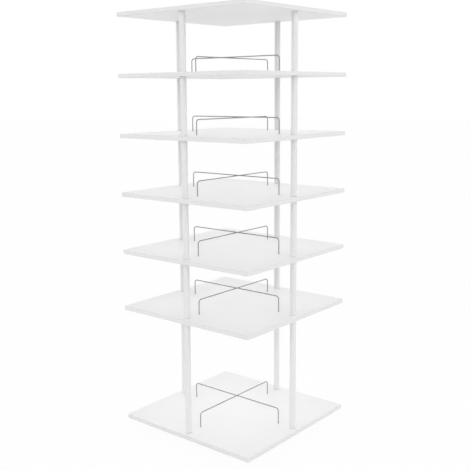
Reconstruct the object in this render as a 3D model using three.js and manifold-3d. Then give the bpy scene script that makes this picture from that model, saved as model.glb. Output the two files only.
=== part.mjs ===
// Rotating shoe tower: seven square boards on four rows of round steel posts, crossed wire dividers on
// the six lower boards, and a ball-bearing swivel between the base board and a round foot board.
// Millimetres, +Z up. The origin lies on the floor under the middle of the tower. Front is -Y, right
// is +X, and the levels are counted upwards from the boot level, which is level 0.
import * as THREE from "three";
import { mergeVertices } from "three/addons/utils/BufferGeometryUtils.js";
import Module from "manifold-3d";

const wasm = await Module();
wasm.setup();

// Boards
const board_side = 480;
const board_thickness = 12;
const board_corner_radius = 6;
const board_edge_ease = 1;

// Levels, from the top of one board to the top of the next
const shoe_level_pitch = 174;
const boot_level_pitch = 348;
const shoe_level_count = 5;

// Posts, and the studs and inserts that screw them together through the boards
const post_diameter = 18;
const post_wall = 1.5;
const post_inset = 22;
const end_plug_length = 14;
const stud_diameter = 6;
const stud_engagement = 10;
const thread_clearance = 0.4;
const board_hole_clearance = 1.5;

// Flat-headed bolts at both ends of each row of posts, their heads sunk into the board
const bolt_head_diameter = 16;
const bolt_head_height = 2;
const bolt_head_chamfer = 0.6;
const bolt_recess_clearance = 1;

// Divider wires, plugged into blind holes in the boards
const wire_diameter = 3;
const wire_leg_inset = 74;
const wire_bar_height = 45;
const wire_bend_radius = 9;
const wire_hole_depth = 8;
const wire_hole_clearance = 0.5;

// Swivel: two pressed plates with a ball cage between them, held together by the lip of the lower one
const swivel_plate_side = 150;
const swivel_corner_radius = 12;
const sheet_thickness = 1.3;
const ball_diameter = 5.6;
const ball_count = 12;
const ball_circle_diameter = 110;
const race_gap = 0.45;
const race_land = 3.4;
const dish_run = 2.4;
const cage_thickness = 1.2;
const cage_width = 10;
const cage_gap = 0.6;
const inner_land = 7;
const neck_clearance = 1.7;
const lip_overlap = 2.5;
const lip_gap = 0.4;
const screw_hole_diameter = 5;
const screw_hole_inset = 11;

// Foot board and its rubber feet
const foot_board_diameter = 380;
const foot_board_thickness = 12;
const foot_board_ease = 1.5;
const rubber_foot_diameter = 30;
const rubber_foot_height = 4;
const rubber_foot_flare = 2;
const rubber_foot_inset = 25;
const foot_peg_diameter = 8;
const foot_peg_length = 8;
const foot_peg_clearance = 0.6;

// Gap between faces that rest on each other, and how far a cut runs past the face that it opens
const seat_gap = 0.3;
const cut_overrun = 2;

// Counts that set how round things are
const post_sides = 12;
const bolt_sides = 10;
const wire_sides = 8;
const hole_sides = 8;
const recess_sides = 8;
const wire_hole_sides = 6;
const swivel_sides = 30;
const race_steps = 4;
const ball_sides = 8;
const ball_rings = 4;
const foot_board_sides = 36;
const rubber_foot_sides = 12;
const corner_steps = 2;
const bend_steps = 3;

// Places that follow from the sizes
const quarter_turn = Math.PI / 2;
const board_half = board_side / 2;
const post_radius = post_diameter / 2;
const post_offset = board_half - post_inset;
const wire_radius = wire_diameter / 2;
const wire_leg_offset = board_half - wire_leg_inset;
const stud_radius = stud_diameter / 2;
const insert_radius = stud_radius + thread_clearance;
const board_hole_radius = stud_radius + board_hole_clearance;
const bolt_recess_depth = bolt_head_height + 2 * seat_gap;
const ball_radius = ball_diameter / 2;
const ball_circle_radius = ball_circle_diameter / 2;
const swivel_height = 2 * (sheet_thickness + race_gap + ball_radius);
const foot_board_bottom = rubber_foot_height + seat_gap;
const swivel_bottom = foot_board_bottom + foot_board_thickness + seat_gap;
const base_board_bottom = swivel_bottom + swivel_height + seat_gap;
const sides = [
  { name: "front", turn: -quarter_turn },
  { name: "right", turn: 0 },
  { name: "back", turn: quarter_turn },
  { name: "left", turn: 2 * quarter_turn },
];

// The underside of the board that carries a level; level 6 is the top board.
function boardBottom(level) {
  if (level === 0) return base_board_bottom;
  return base_board_bottom + boot_level_pitch + (level - 1) * shoe_level_pitch;
}

function boardTop(level) {
  return boardBottom(level) + board_thickness;
}

const top_level = shoe_level_count + 1;

// Materials
function material(color, roughness, metalness) {
  return () => new THREE.MeshStandardMaterial({ color, roughness, metalness });
}
const white_board = material("#f3f3f2", 0.45, 0);
const white_steel = material("#e9e9e8", 0.35, 0.1);
const bright_wire = material("#b9babd", 0.22, 1);
const zinc_steel = material("#b4b7ba", 0.35, 1);
const ball_steel = material("#c9cbce", 0.2, 1);
const dark_rubber = material("#2b2b2c", 0.85, 0);

// A geometry with only positions, its shared corners merged and its empty triangles left out.
function closed(geometry) {
  const bare = geometry.clone();
  bare.deleteAttribute("normal");
  bare.deleteAttribute("uv");
  const merged = mergeVertices(bare);
  const kept = [];
  for (let i = 0; i < merged.index.count; i += 3) {
    const corner = [0, 1, 2].map((step) => merged.index.getX(i + step));
    if (new Set(corner).size === 3) kept.push(...corner);
  }
  merged.setIndex(kept);
  merged.computeVertexNormals();
  return merged;
}

function toSolid(geometry) {
  const shape = closed(geometry);
  return new wasm.Manifold(new wasm.Mesh({
    numProp: 3,
    vertProperties: new Float32Array(shape.attributes.position.array),
    triVerts: new Uint32Array(shape.index.array),
  }));
}

function toGeometry(solid) {
  const mesh = solid.getMesh();
  const geometry = new THREE.BufferGeometry();
  geometry.setAttribute("position", new THREE.BufferAttribute(mesh.vertProperties, mesh.numProp));
  geometry.setIndex(new THREE.BufferAttribute(mesh.triVerts, 1));
  geometry.computeVertexNormals();
  return geometry;
}

// A section turned about Z. Its points are [radius, height] and run anticlockwise: out along the
// bottom, up the outside and back along the top.
function revolve(profile, sideCount) {
  const points = profile.map(([radius, height]) => new THREE.Vector2(radius, height));
  return new THREE.LatheGeometry(points, sideCount).rotateX(quarter_turn);
}

function revolveRing(profile, sideCount) {
  return revolve([...profile, profile[0]], sideCount);
}

function cylinder(radius, bottom, top, sideCount) {
  const axis = new THREE.CylinderGeometry(radius, radius, top - bottom, sideCount);
  return axis.rotateX(quarter_turn).translate(0, 0, (top + bottom) / 2);
}

// A square plate with round corners, its middle at the origin and its underside at z = 0.
function squarePlate(side, cornerRadius, thickness, ease) {
  const flat = side / 2 - cornerRadius;
  const outline = new THREE.Shape();
  outline.absarc(flat, flat, cornerRadius, 0, quarter_turn);
  outline.absarc(-flat, flat, cornerRadius, quarter_turn, 2 * quarter_turn);
  outline.absarc(-flat, -flat, cornerRadius, 2 * quarter_turn, 3 * quarter_turn);
  outline.absarc(flat, -flat, cornerRadius, 3 * quarter_turn, 4 * quarter_turn);
  return new THREE.ExtrudeGeometry(outline, {
    depth: thickness - 2 * ease,
    curveSegments: corner_steps,
    bevelEnabled: ease > 0,
    bevelSegments: 1,
    bevelThickness: ease,
    bevelSize: ease,
    bevelOffset: -ease,
  }).translate(0, 0, ease);
}

// The point at a distance from the tower's axis, towards one of the four sides.
function towards(side, distance) {
  return new THREE.Vector3(distance * Math.cos(side.turn), distance * Math.sin(side.turn), 0);
}

// A board with its four post holes. Wires stand in four more, blind holes in its top. Where bolts hold
// it, their heads lie in a recess round each post hole, in the top or the underside.
function board({ hasWires = false, headsAbove = false, headsBelow = false }) {
  let solid = toSolid(squarePlate(board_side, board_corner_radius, board_thickness, board_edge_ease));
  const over = board_thickness + cut_overrun;
  const recessRadius = bolt_head_diameter / 2 + bolt_recess_clearance;
  for (const side of sides) {
    const cuts = [[post_offset, cylinder(board_hole_radius, -cut_overrun, over, hole_sides)]];
    if (headsAbove) {
      const floor = board_thickness - bolt_recess_depth;
      cuts.push([post_offset, cylinder(recessRadius, floor, over, recess_sides)]);
    }
    if (headsBelow) {
      cuts.push([post_offset, cylinder(recessRadius, -cut_overrun, bolt_recess_depth, recess_sides)]);
    }
    if (hasWires) {
      const floor = board_thickness - wire_hole_depth;
      const legRadius = wire_radius + wire_hole_clearance;
      cuts.push([wire_leg_offset, cylinder(legRadius, floor, over, wire_hole_sides)]);
    }
    for (const [distance, cut] of cuts) {
      const middle = towards(side, distance);
      solid = solid.subtract(toSolid(cut.translate(middle.x, middle.y, 0)));
    }
  }
  return toGeometry(solid);
}

// A post stands on z = 0. Its tube is hollow between the end plugs. The foot plug is a threaded insert,
// open into the tube. The head plug carries the stud that passes up through the board above, or is an
// insert too where the top board is bolted down on it.
function post(length, hasStud) {
  const bore = post_radius - post_wall;
  const headPlug = length - end_plug_length;
  const foot = [[insert_radius, 0], [post_radius, 0]];
  const hollow = [[bore, headPlug], [bore, end_plug_length], [insert_radius, end_plug_length]];
  if (!hasStud) {
    const head = [[post_radius, length], [insert_radius, length], [insert_radius, headPlug]];
    return closed(revolveRing([...foot, ...head, ...hollow], post_sides));
  }
  const studEnd = length + board_thickness + 2 * seat_gap + stud_engagement;
  const outside = [
    ...foot,
    [post_radius, length],
    [stud_radius, length],
    [stud_radius, studEnd],
    [0, studEnd],
  ];
  return closed(revolve([[0, headPlug], ...hollow, ...outside], post_sides));
}

// A flat-headed bolt: the underside of the head at z = 0, the shank down through the rest of the board
// and into the post's insert.
function bolt() {
  const headRadius = bolt_head_diameter / 2;
  const shankEnd = bolt_recess_depth - board_thickness - 2 * seat_gap - stud_engagement;
  return closed(revolve([
    [0, shankEnd],
    [stud_radius, shankEnd],
    [stud_radius, 0],
    [headRadius, 0],
    [headRadius, bolt_head_height - bolt_head_chamfer],
    [headRadius - bolt_head_chamfer, bolt_head_height],
    [0, bolt_head_height],
  ], bolt_sides));
}

// The middle line of a divider wire in the XZ plane: up one leg, over the bar and down the other.
// The stations stand close together in the two bends only.
class WireLine extends THREE.Curve {
  constructor(barHeight) {
    super();
    const legEnd = seat_gap - wire_hole_depth;
    const bendMiddle = wire_leg_offset - wire_bend_radius;
    this.stations = [new THREE.Vector3(-wire_leg_offset, 0, legEnd)];
    for (const way of [-1, 1]) {
      for (let step = 0; step <= bend_steps; step += 1) {
        const share = way < 0 ? step / bend_steps : 1 - step / bend_steps;
        const angle = share * quarter_turn;
        const out = bendMiddle + wire_bend_radius * Math.cos(angle);
        const height = barHeight - wire_bend_radius * (1 - Math.sin(angle));
        this.stations.push(new THREE.Vector3(way * out, 0, height));
      }
    }
    this.stations.push(new THREE.Vector3(wire_leg_offset, 0, legEnd));
  }

  get stepCount() {
    return this.stations.length - 1;
  }

  getUtoTmapping(share) {
    return share;
  }

  getPoint(share) {
    const place = Math.min(share * this.stepCount, this.stepCount);
    const before = Math.min(Math.floor(place), this.stepCount - 1);
    return this.stations[before].clone().lerp(this.stations[before + 1], place - before);
  }
}

function dividerWire(barHeight) {
  const line = new WireLine(barHeight);
  const corners = [];
  for (let i = 0; i < wire_sides; i += 1) {
    const angle = (i + 0.5) * 4 * quarter_turn / wire_sides;
    corners.push(new THREE.Vector2(wire_radius * Math.cos(angle), wire_radius * Math.sin(angle)));
  }
  return closed(new THREE.ExtrudeGeometry(new THREE.Shape(corners), {
    steps: line.stepCount,
    extrudePath: line,
    bevelEnabled: false,
  }));
}

// Sizes of the swivel's section, measured up from the lower plate's underside. The upper plate is the
// same section turned over, but for its inner edge, which the lower plate's lip reaches over.
const groove_radius = ball_radius + race_gap;
const ball_middle = swivel_height / 2;
const land_top = ball_middle - cage_thickness / 2 - cage_gap;
const groove_angle = Math.acos((ball_middle - land_top) / groove_radius);
const groove_half = groove_radius * Math.sin(groove_angle);
const land_outer = ball_circle_radius + groove_half + race_land;
const dish_outer = land_outer + dish_run;
const ring_outer = dish_outer + sheet_thickness + race_land;
const upper_bore = ball_circle_radius - groove_half - inner_land;
const neck_outer = upper_bore - neck_clearance;
const neck_inner = neck_outer - sheet_thickness;
const lip_outer = upper_bore + lip_overlap;
const lip_bottom = swivel_height - land_top + sheet_thickness + lip_gap;

// The ball groove as seen from above, from its outer edge to its inner edge.
function grooveArc() {
  const arc = [];
  for (let step = 0; step <= race_steps; step += 1) {
    const angle = groove_angle * (1 - 2 * step / race_steps);
    const radius = ball_circle_radius + groove_radius * Math.sin(angle);
    arc.push([radius, ball_middle - groove_radius * Math.cos(angle)]);
  }
  return arc;
}

// The section from the flat rim in to the groove's inner side: its underside outwards, then its top
// inwards.
function racewaySection(innerBottom, innerTop) {
  const land_bottom = land_top - sheet_thickness;
  const footHalf = groove_half - sheet_thickness / 2;
  const footRun = land_bottom;
  return [
    ...innerBottom,
    [ball_circle_radius - footHalf - footRun, land_bottom],
    [ball_circle_radius - footHalf, 0],
    [ball_circle_radius + footHalf, 0],
    [ball_circle_radius + footHalf + footRun, land_bottom],
    [land_outer - sheet_thickness / 2, land_bottom],
    [dish_outer - sheet_thickness / 2, 0],
    [ring_outer, 0],
    [ring_outer, sheet_thickness],
    [dish_outer, sheet_thickness],
    [land_outer, land_top],
    ...grooveArc(),
    ...innerTop,
  ];
}

// The square rim that screws to a board, with a screw hole near each corner.
function swivelRim() {
  let rim = toSolid(squarePlate(swivel_plate_side, swivel_corner_radius, sheet_thickness, 0));
  const holeRadius = screw_hole_diameter / 2;
  const place = swivel_plate_side / 2 - screw_hole_inset;
  const middle = cylinder(ring_outer - race_land / 2, -cut_overrun, sheet_thickness + cut_overrun,
    swivel_sides);
  rim = rim.subtract(toSolid(middle));
  for (const [x, y] of [[place, place], [-place, place], [-place, -place], [place, -place]]) {
    const hole = cylinder(holeRadius, -cut_overrun, sheet_thickness + cut_overrun, wire_hole_sides);
    rim = rim.subtract(toSolid(hole.translate(x, y, 0)));
  }
  return rim;
}

function lowerSwivelPlate() {
  const lipTop = lip_bottom + sheet_thickness;
  const section = racewaySection(
    [[neck_inner, land_top - sheet_thickness]],
    [
      [neck_outer, land_top],
      [neck_outer, lip_bottom],
      [lip_outer, lip_bottom],
      [lip_outer, lipTop],
      [neck_inner, lipTop],
    ],
  );
  return toGeometry(toSolid(revolveRing(section, swivel_sides)).add(swivelRim()));
}

// Made the lower plate's way up, then turned over about X.
function upperSwivelPlate() {
  const section = racewaySection(
    [[upper_bore, land_top - sheet_thickness]],
    [[upper_bore, land_top]],
  );
  const plate = toSolid(revolveRing(section, swivel_sides)).add(swivelRim());
  return toGeometry(plate).rotateX(2 * quarter_turn).translate(0, 0, swivel_height);
}

// A flat ring with a ball held in each of its holes, its middle plane at z = 0.
function ballCage() {
  const inner = ball_circle_radius - cage_width / 2;
  const outer = ball_circle_radius + cage_width / 2;
  const half = cage_thickness / 2;
  let cage = toSolid(revolveRing([[inner, -half], [outer, -half], [outer, half], [inner, half]],
    swivel_sides));
  for (let i = 0; i < ball_count; i += 1) {
    const angle = 4 * quarter_turn * i / ball_count;
    const ball = new THREE.SphereGeometry(ball_radius, ball_sides, ball_rings).rotateX(quarter_turn);
    const x = ball_circle_radius * Math.cos(angle);
    const y = ball_circle_radius * Math.sin(angle);
    cage = cage.add(toSolid(ball.translate(x, y, 0)));
  }
  return toGeometry(cage);
}

// The four rubber feet stand on the diagonals.
function rubberFootPlace(index) {
  const distance = foot_board_diameter / 2 - rubber_foot_inset;
  const angle = quarter_turn * (index + 0.5);
  return new THREE.Vector3(distance * Math.cos(angle), distance * Math.sin(angle), 0);
}

// The round foot board, its underside at z = 0, with a blind hole for the peg of each rubber foot.
function footBoard() {
  const rim = foot_board_diameter / 2;
  const faceRim = rim - foot_board_ease;
  let solid = toSolid(revolve([
    [0, 0],
    [faceRim, 0],
    [rim, foot_board_ease],
    [rim, foot_board_thickness - foot_board_ease],
    [faceRim, foot_board_thickness],
    [0, foot_board_thickness],
  ], foot_board_sides));
  const holeRadius = foot_peg_diameter / 2 + foot_peg_clearance;
  for (let i = 0; i < 4; i += 1) {
    const place = rubberFootPlace(i);
    const hole = cylinder(holeRadius, -cut_overrun, foot_peg_length, hole_sides);
    solid = solid.subtract(toSolid(hole.translate(place.x, place.y, 0)));
  }
  return toGeometry(solid);
}

// A rubber foot stands on z = 0, wider at its top, with the peg that presses into the foot board.
function rubberFoot() {
  const padRadius = rubber_foot_diameter / 2;
  const pegRadius = foot_peg_diameter / 2;
  return closed(revolve([
    [0, 0],
    [padRadius - rubber_foot_flare, 0],
    [padRadius, rubber_foot_height],
    [pegRadius, rubber_foot_height],
    [pegRadius, rubber_foot_height + foot_peg_length - seat_gap],
    [0, rubber_foot_height + foot_peg_length - seat_gap],
  ], rubber_foot_sides));
}

const tower = new THREE.Group();

function place(name, geometry, makeMaterial, position, turn = 0) {
  const mesh = new THREE.Mesh(geometry, makeMaterial());
  mesh.name = name;
  mesh.position.copy(position);
  mesh.rotation.z = turn;
  tower.add(mesh);
  return mesh;
}

function above(height) {
  return new THREE.Vector3(0, 0, height);
}

// Boards
const base_board = board({ hasWires: true, headsBelow: true });
place("base_board", base_board, white_board, above(boardBottom(0)));
for (let level = 1; level < top_level; level += 1) {
  const shelf_board = board({ hasWires: true });
  place(`shelf_board_${level}`, shelf_board, white_board, above(boardBottom(level)));
}
place("top_board", board({ headsAbove: true }), white_board, above(boardBottom(top_level)));

// Posts
for (let level = 0; level < top_level; level += 1) {
  const foot = boardTop(level) + seat_gap;
  const length = boardBottom(level + 1) - seat_gap - foot;
  for (const side of sides) {
    const name = level === 0 ? `boot_post_${side.name}` : `shoe_post_${level}_${side.name}`;
    const position = towards(side, post_offset).add(above(foot));
    place(name, post(length, level + 1 < top_level), white_steel, position);
  }
}

// Bolts, head up in the top board and head down in the base board
const head_depth = bolt_recess_depth - seat_gap;
for (const side of sides) {
  const offset = towards(side, post_offset);
  const upperSeat = above(boardTop(top_level) - head_depth);
  place(`top_bolt_${side.name}`, bolt(), zinc_steel, offset.clone().add(upperSeat));
  const lowerSeat = above(boardBottom(0) + head_depth);
  const turnedOver = bolt().rotateX(2 * quarter_turn);
  place(`base_bolt_${side.name}`, turnedOver, zinc_steel, offset.clone().add(lowerSeat));
}

// Divider wires: the one from left to right passes over the one from front to back
const crossing_half = (wire_diameter + seat_gap) / 2;
for (let level = 0; level < top_level; level += 1) {
  const stand = above(boardTop(level));
  const under = dividerWire(wire_bar_height - crossing_half);
  const over = dividerWire(wire_bar_height + crossing_half);
  place(`divider_${level}_left_right`, over, bright_wire, stand);
  place(`divider_${level}_front_back`, under, bright_wire, stand, quarter_turn);
}

// Swivel
place("swivel_lower_plate", lowerSwivelPlate(), zinc_steel, above(swivel_bottom));
place("swivel_upper_plate", upperSwivelPlate(), zinc_steel, above(swivel_bottom));
place("swivel_ball_cage", ballCage(), ball_steel, above(swivel_bottom + ball_middle));

// Foot board and rubber feet
place("foot_board", footBoard(), white_board, above(foot_board_bottom));
for (let i = 0; i < 4; i += 1) {
  place(`rubber_foot_${i + 1}`, rubberFoot(), dark_rubber, rubberFootPlace(i));
}

export default tower;
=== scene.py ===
"""Looks of the rotating shoe tower: boards, posts, divider wires, swivel and foot, with the stage.

Metres, +Z up. The origin lies on the floor under the middle of the tower.
"""

import math
from types import SimpleNamespace

import bmesh
import bpy
from bpy.props import FloatProperty, FloatVectorProperty, IntProperty, PointerProperty
from mathutils import Matrix, Vector


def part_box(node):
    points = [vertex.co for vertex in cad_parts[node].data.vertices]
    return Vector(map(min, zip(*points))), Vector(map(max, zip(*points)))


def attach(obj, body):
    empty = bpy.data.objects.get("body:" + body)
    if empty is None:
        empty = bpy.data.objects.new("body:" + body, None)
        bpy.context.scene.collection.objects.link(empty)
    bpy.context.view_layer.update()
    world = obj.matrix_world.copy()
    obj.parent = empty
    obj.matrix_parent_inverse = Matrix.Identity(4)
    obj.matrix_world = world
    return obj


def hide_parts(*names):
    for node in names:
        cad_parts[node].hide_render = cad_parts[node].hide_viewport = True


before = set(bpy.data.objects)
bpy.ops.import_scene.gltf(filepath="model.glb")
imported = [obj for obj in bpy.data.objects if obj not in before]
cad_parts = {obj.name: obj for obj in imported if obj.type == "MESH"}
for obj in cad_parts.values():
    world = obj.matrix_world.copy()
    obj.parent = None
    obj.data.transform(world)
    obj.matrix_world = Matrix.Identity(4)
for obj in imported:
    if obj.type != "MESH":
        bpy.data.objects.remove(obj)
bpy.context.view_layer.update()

bl_info = {
    "name": "Rotating Shoe Tower",
    "version": (1, 0, 0),
    "blender": (4, 5, 0),
    "location": "3D View > Sidebar > Shoe Tower",
    "description": "Builds a rotating shoe tower from its boards, posts, wires, swivel and foot",
    "category": "Add Mesh",
}

FULL_TURN = 2 * math.pi
QUARTER_TURN = FULL_TURN / 4
UPSIDE_DOWN = Matrix.Rotation(math.pi, 4, "X")
SHARP_ANGLE = math.radians(40)
GROOVE_SHARP_ANGLE = math.radians(30)

SIDES = ("front", "right", "back", "left")
CORNERS = ((1, 1), (-1, 1), (-1, -1), (1, -1))
SHELF_BOARDS = tuple(f"shelf_board_{level}" for level in range(1, 6))
LEVEL_BOARDS = ("base_board",) + SHELF_BOARDS
RUBBER_FEET = tuple(f"rubber_foot_{number}" for number in range(1, 5))

# Places of a plate's materials in its mesh: on its faces, on its edge and in its holes
BOARD_MATERIALS = (0, 1, 2)
ONE_MATERIAL = (0, 0, 0)

# How finely the round shapes are divided
HOLE_SIDES = 48
SWIVEL_SIDES = 96
FOOT_BOARD_SIDES = 180
FLOOR_SIDES = 128
BOLT_SIDES = 48
SCREW_SIDES = 32
STUD_SIDES = 32
RUBBER_SIDES = 48
BALL_SEGMENTS = 32
BALL_RINGS = 16
BOARD_CORNER_STEPS = 10
BAND_STEPS = 7
TUBE_END_STEPS = 4
PLATE_CORNER_STEPS = 12
SHEET_EDGE_STEPS = 2
GROOVE_STEPS = 10
BOLT_EDGE_STEPS = 5
SCREW_HEAD_STEPS = 6
RUBBER_EDGE_STEPS = 3


# Places and sizes that come from the frame

def size_of(node):
    """Length of a node along X, Y and Z."""
    low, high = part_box(node)
    return high - low


def middle_of(node):
    low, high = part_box(node)
    return (low + high) / 2


def top_of(node):
    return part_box(node)[1].z


def bottom_of(node):
    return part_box(node)[0].z


def foot_of(node):
    """The middle of a node's underside."""
    middle = middle_of(node)
    return (middle.x, middle.y, bottom_of(node))


# Sizes and colours

def a_length(name, description, default, **limits):
    """A size in metres that a user can set."""
    return FloatProperty(name=name, description=description, default=default, unit="LENGTH", **limits)


def an_angle(name, description, degrees):
    return FloatProperty(
        name=name, description=description, default=math.radians(degrees), unit="ROTATION",
    )


def a_strength(name, description, default):
    return FloatProperty(name=name, description=description, default=default, min=0.0)


def a_share(name, description, default):
    """A share from 0 to 1 that a user can set."""
    return FloatProperty(
        name=name, description=description, default=default, subtype="FACTOR", min=0.0, max=1.0,
    )


def a_count(name, description, default, fewest, most):
    return IntProperty(name=name, description=description, default=default, min=fewest, max=most)


def a_colour(name, description, default):
    return FloatVectorProperty(
        name=name, description=description, default=default, subtype="COLOR", size=3, min=0.0, max=1.0,
    )


def a_place(name, description, default):
    return FloatVectorProperty(
        name=name, description=description, default=default, subtype="XYZ", size=3, unit="LENGTH",
    )


class BoardSettings(bpy.types.PropertyGroup):
    """Sizes and colours of the laminated boards."""

    face_colour: a_colour("Face colour", "White of the laminate on the faces", (0.925, 0.925, 0.923))
    # The band's white is set darker than the faces' white: painted shade for the upright edges, which
    # get less light
    band_colour: a_colour(
        "Edge band colour", "White of the thin band round the edges", (0.765, 0.765, 0.763),
    )
    core_colour: a_colour("Core colour", "Chipboard that shows in the drilled holes", (0.5, 0.38, 0.25))
    corner_radius: a_length(
        "Corner radius", "Radius of a board's corners seen from above", 0.005, min=0.001,
    )
    edge_radius: a_length(
        "Edge radius", "Rounding between the faces and the edge band", 0.0013, min=0.0001,
    )
    band_thickness: a_length("Band thickness", "Thickness of the edge band", 0.0015, min=0.0012)
    joint_width: a_length("Joint width", "Width of the fine line between a face and the band", 0.0002)
    joint_depth: a_length("Joint depth", "Depth of the fine line between a face and the band", 0.0001)
    post_hole: a_length("Post hole diameter", "Hole that a post's stud or a bolt passes through", 0.009)
    recess_diameter: a_length(
        "Recess diameter", "Recess for a bolt's head in the top and base boards", 0.0176,
    )
    recess_depth: a_length("Recess depth", "Depth of the recess for a bolt's head", 0.0026)
    leg_hole: a_length("Wire hole diameter", "Blind hole that a divider wire's leg stands in", 0.004)
    leg_hole_depth: a_length("Wire hole depth", "Depth of the blind hole for a wire's leg", 0.008)
    hole_ease: a_length("Hole ease", "Small bevel round each hole's mouth", 0.0003)


class PostSettings(bpy.types.PropertyGroup):
    """Sizes and colour of the round posts."""

    colour: a_colour("Post colour", "White of the posts' powder coat", (0.765, 0.765, 0.763))
    diameter: a_length("Diameter", "Outside diameter of the tubes", size_of("boot_post_front").x)
    wall: a_length("Wall", "Wall thickness of the tubes", 0.0015)
    end_radius: a_length("End radius", "Rounding at the tubes' ends", 0.0006)
    plug_length: a_length("Plug length", "Length of the plugs in the tubes' ends", 0.014)
    insert_diameter: a_length("Insert diameter", "Threaded hole in a plug", 0.0068)
    stud_diameter: a_length(
        "Stud diameter", "Stud that joins a post to the next one through the board", 0.006,
    )
    stud_length: a_length("Stud length", "How far the stud stands out of the post", 0.0226)
    sides: a_count("Sides", "Facets round a tube", 64, 12, 128)


class WireSettings(bpy.types.PropertyGroup):
    """Sizes and colour of the divider wires."""

    colour: a_colour("Wire colour", "Reflection of the plated wire", (0.34, 0.343, 0.347))
    diameter: a_length("Diameter", "Diameter of the wire", 0.003)
    half_span: a_length("Half span", "Distance of a leg from the tower's axis", 0.166)
    bar_height: a_length("Bar height", "Height of the crossing above the board", 0.045)
    crossing_gap: a_length("Crossing gap", "Gap between the two wires where they cross", 0.0003)
    leg_depth: a_length("Leg depth", "How far a leg goes into the board", 0.0077)
    bend_radius: a_length("Bend radius", "Radius of the wire's middle line in its two bends", 0.009)
    bend_steps: a_count("Bend steps", "Stations in each bend", 12, 3, 32)
    sides: a_count("Sides", "Facets round the wire", 20, 8, 48)


class BoltSettings(bpy.types.PropertyGroup):
    """Sizes of the flat-headed bolts."""

    head_diameter: a_length("Head diameter", "Diameter of the flat head", size_of("top_bolt_front").y)
    head_height: a_length("Head height", "Thickness of the flat head", 0.002)
    shank_diameter: a_length("Shank diameter", "Diameter of the threaded shank", 0.006)
    socket_width: a_length("Socket width", "Width across the flats of the hexagon socket", 0.004)
    socket_depth: a_length("Socket depth", "Depth of the hexagon socket", 0.0016)
    edge_radius: a_length("Edge radius", "Rounding of the head's upper edge", 0.0006)


class SwivelSettings(bpy.types.PropertyGroup):
    """Sizes and colours of the ball swivel."""

    plate_colour: a_colour("Plate colour", "Reflection of the zinc-plated sheet", (0.62, 0.635, 0.65))
    ball_colour: a_colour("Ball colour", "Reflection of the polished balls", (0.7, 0.7, 0.71))
    corner_radius: a_length("Corner radius", "Radius of the plates' corners", 0.012)
    sheet: a_length("Sheet thickness", "Thickness of the pressed sheet", 0.0013)
    ball_diameter: a_length("Ball diameter", "Diameter of the balls", size_of("swivel_ball_cage").z)
    ball_count: a_count("Ball count", "Number of balls in the cage", 12, 3, 48)
    ball_circle: a_length("Ball circle", "Diameter of the circle that the balls run on", 0.11)
    race_gap: a_length("Race gap", "Play between the balls and the grooves", 0.00045)
    race_land: a_length(
        "Race land", "Flat outside the groove, and flat of the rim outside the dish", 0.0034,
    )
    dish_run: a_length(
        "Dish run", "Run of the sloped step between the rim and the raceway", 0.0024,
    )
    inner_land: a_length("Inner land", "Flat between the groove and the upper plate's bore", 0.007)
    neck_clearance: a_length(
        "Neck clearance", "Play between the lower plate's neck and the upper plate's bore", 0.0017,
    )
    lip_overlap: a_length(
        "Lip overlap", "How far the lower plate's lip reaches over the upper plate", 0.0025,
    )
    lip_gap: a_length("Lip gap", "Gap between the lip and the upper plate", 0.0004)
    cage_thickness: a_length("Cage thickness", "Thickness of the ball cage's ring", 0.0012)
    cage_width: a_length("Cage width", "Width of the ball cage's ring", 0.01)
    cage_gap: a_length("Cage gap", "Gap between the cage and the plates", 0.0006)
    screw_hole: a_length("Screw hole diameter", "Holes near the plates' corners", 0.005)
    screw_inset: a_length("Screw inset", "Distance of a screw hole from the plate's edges", 0.011)
    screw_head: a_length("Screw head diameter", "Diameter of the round screw heads", 0.008)


class FootSettings(bpy.types.PropertyGroup):
    """Sizes and colour of the rubber feet."""

    rubber_colour: a_colour("Rubber colour", "Black of the rubber feet", (0.028, 0.028, 0.029))
    flare: a_length("Flare", "How much wider a foot is at its top", 0.002)
    pad_height: a_length("Pad height", "Height of a foot under the foot board", 0.004)
    peg_diameter: a_length("Peg diameter", "Peg that presses into the foot board", 0.008)
    peg_hole: a_length("Peg hole diameter", "Hole in the foot board for a foot's peg", 0.0092)
    edge_radius: a_length("Edge radius", "Rounding of a foot's edges", 0.0007)


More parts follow.
